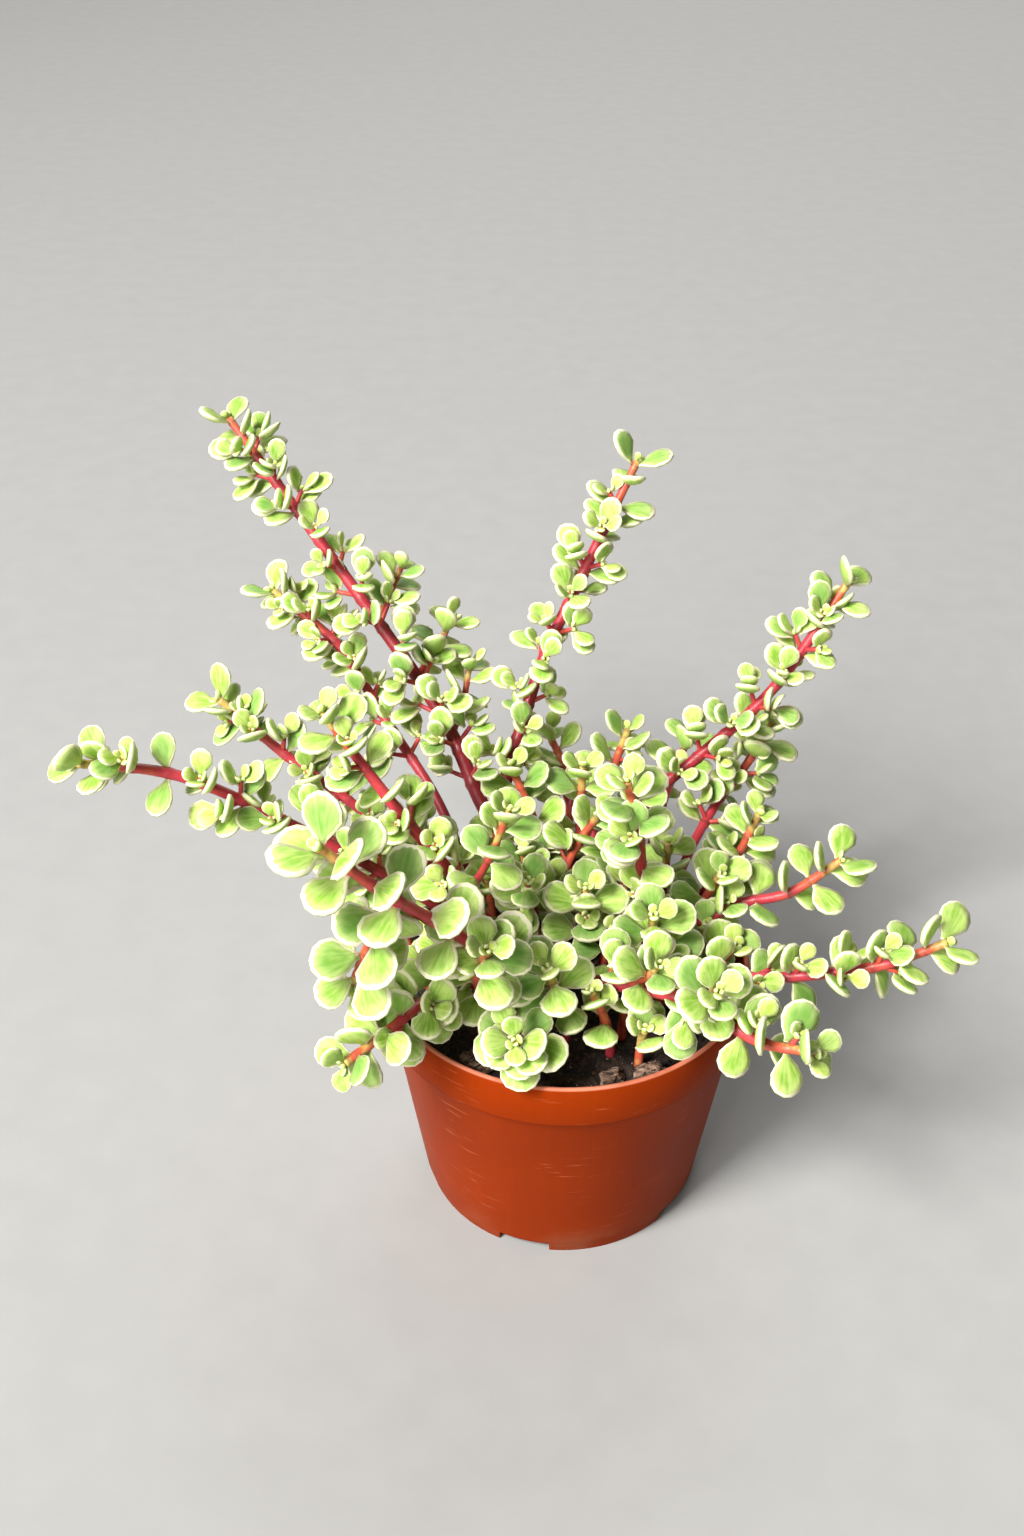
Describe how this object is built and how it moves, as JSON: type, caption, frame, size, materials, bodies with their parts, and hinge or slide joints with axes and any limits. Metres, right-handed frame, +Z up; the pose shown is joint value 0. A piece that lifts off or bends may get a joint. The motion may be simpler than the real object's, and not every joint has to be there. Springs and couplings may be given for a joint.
{
  "type": "potted elephant bush",
  "caption": "Variegated elephant bush with small round cream-edged leaves on red stems, spreading from a plain terracotta-coloured plastic pot filled with soil.",
  "frame": {"origin": "on the pot's axis, in the plane that the pot stands on, at the middle of the pad under its floor", "axes": "+Z up along the pot's axis; +X along the plant's longest side, to the right seen from the front; +Y to the rear"},
  "size_m": [0.277, 0.2274, 0.223],
  "materials": {
    "terracotta_plastic": "satin moulded plastic",
    "loam": "loose dark potting soil with bark chips",
    "variegated_foliage": "smooth fleshy leaves with a waxy sheen"
  },
  "bodies": {
    "root": {"pot": "terracotta_plastic", "potting_soil": "loam", "stem_front": "variegated_foliage", "stem_front_left_tall": "variegated_foliage", "stem_front_middle": "variegated_foliage", "stem_inner_left": "variegated_foliage", "stem_long_left": "variegated_foliage", "stem_long_right": "variegated_foliage", "stem_middle_left": "variegated_foliage", "stem_middle_low": "variegated_foliage", "stem_middle_right": "variegated_foliage", "stem_middle_short": "variegated_foliage", "stem_middle_tiers": "variegated_foliage", "stem_near_left": "variegated_foliage", "stem_over_rim": "variegated_foliage", "stem_rear_left": "variegated_foliage", "stem_rear_middle": "variegated_foliage", "stem_rear_right": "variegated_foliage", "stem_right": "variegated_foliage", "stem_right_low": "variegated_foliage", "stem_right_rear": "variegated_foliage", "stem_right_rear_low": "variegated_foliage", "stem_right_short": "variegated_foliage", "stem_tall_left": "variegated_foliage", "stem_tall_left_rear": "variegated_foliage", "stem_tall_middle": "variegated_foliage", "stem_trunk_front": "variegated_foliage", "stem_upper_left": "variegated_foliage"}
  },
  "joints": []
}
